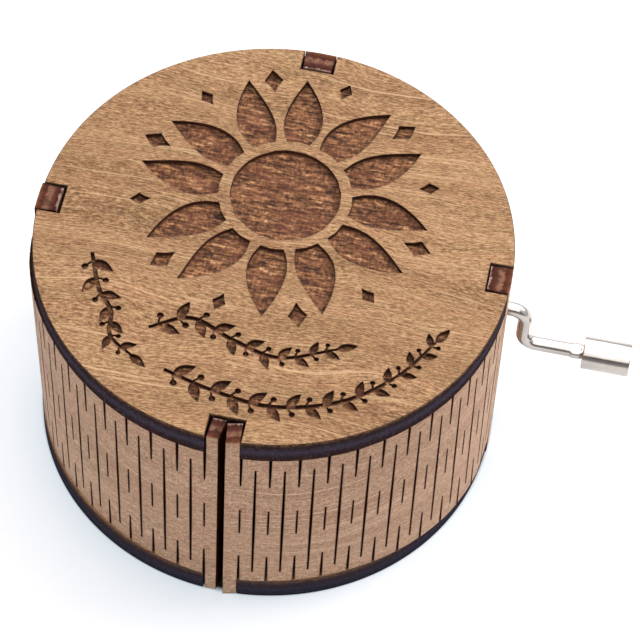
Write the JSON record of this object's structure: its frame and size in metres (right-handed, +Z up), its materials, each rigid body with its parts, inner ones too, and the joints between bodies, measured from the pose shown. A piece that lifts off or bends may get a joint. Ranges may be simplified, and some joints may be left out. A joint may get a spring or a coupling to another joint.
{
  "type": "hand cranked disc music box",
  "caption": "Round plywood music box with a living-hinge wall, an engraved lid and a wire hand crank that turns a pinned cylinder against a comb.",
  "frame": {"origin": "centre of the base disc's underside, on the axis of the round case", "axes": "+Z up along the case's axis, +X towards the crank, -Y towards the wall's seam"},
  "size_m": [0.0826, 0.0654, 0.04],
  "materials": {
    "lid_plywood": "laser-cut plywood, golden-tan stain, matt",
    "base_plywood": "laser-cut plywood, golden-tan stain, charred edge",
    "wall_plywood": "laser-slit plywood, pinkish tan, matt",
    "plated_wire": "bright nickel plate",
    "cast_zinc": "bare zinc die casting, satin",
    "sheet_steel": "zinc-plated sheet",
    "spring_steel": "ground hard steel",
    "brass": "drawn brass, satin",
    "lead": "dull lead",
    "screw_steel": "plated screws"
  },
  "bodies": {
    "case": {"lid_disc": "lid_plywood", "base_disc": "base_plywood", "hinge_wall": "wall_plywood", "bedplate": "cast_zinc", "shaft_post_inner": "sheet_steel", "shaft_post_outer": "sheet_steel", "arbor_bracket": "sheet_steel", "comb": "spring_steel", "tuning_weights": "lead", "shaft_post_screws": "screw_steel", "arbor_bracket_screws": "screw_steel", "comb_screws": "screw_steel", "mounting_screws": "screw_steel"},
    "crank": {"crank_rod": "plated_wire", "shaft_collar": "brass", "retaining_clip": "spring_steel", "worm": "brass"},
    "knob": {"crank_knob": "plated_wire"},
    "cylinder": {"cylinder_barrel": "brass", "barrel_end_cap": "brass", "cylinder_arbor": "spring_steel", "worm_wheel": "brass"}
  },
  "joints": [
    {"name": "crank_turn", "type": "hinge", "parent": "case", "child": "crank", "pos_m": [0.03464, 0.008, 0.022], "axis": [1, 0, 0], "continuous": true},
    {"name": "knob_spin", "type": "hinge", "parent": "crank", "child": "knob", "pos_m": [0.04674, 0.008, 0.0146], "axis": [1, 0, 0], "continuous": true},
    {"name": "cylinder_turn", "type": "hinge", "parent": "case", "child": "cylinder", "pos_m": [0.008, 0, 0.0136], "axis": [0, 1, 0], "continuous": true}
  ],
  "couplings": [
    {"joint": "cylinder_turn", "follows": "crank_turn", "ratio": -0.038462}
  ]
}
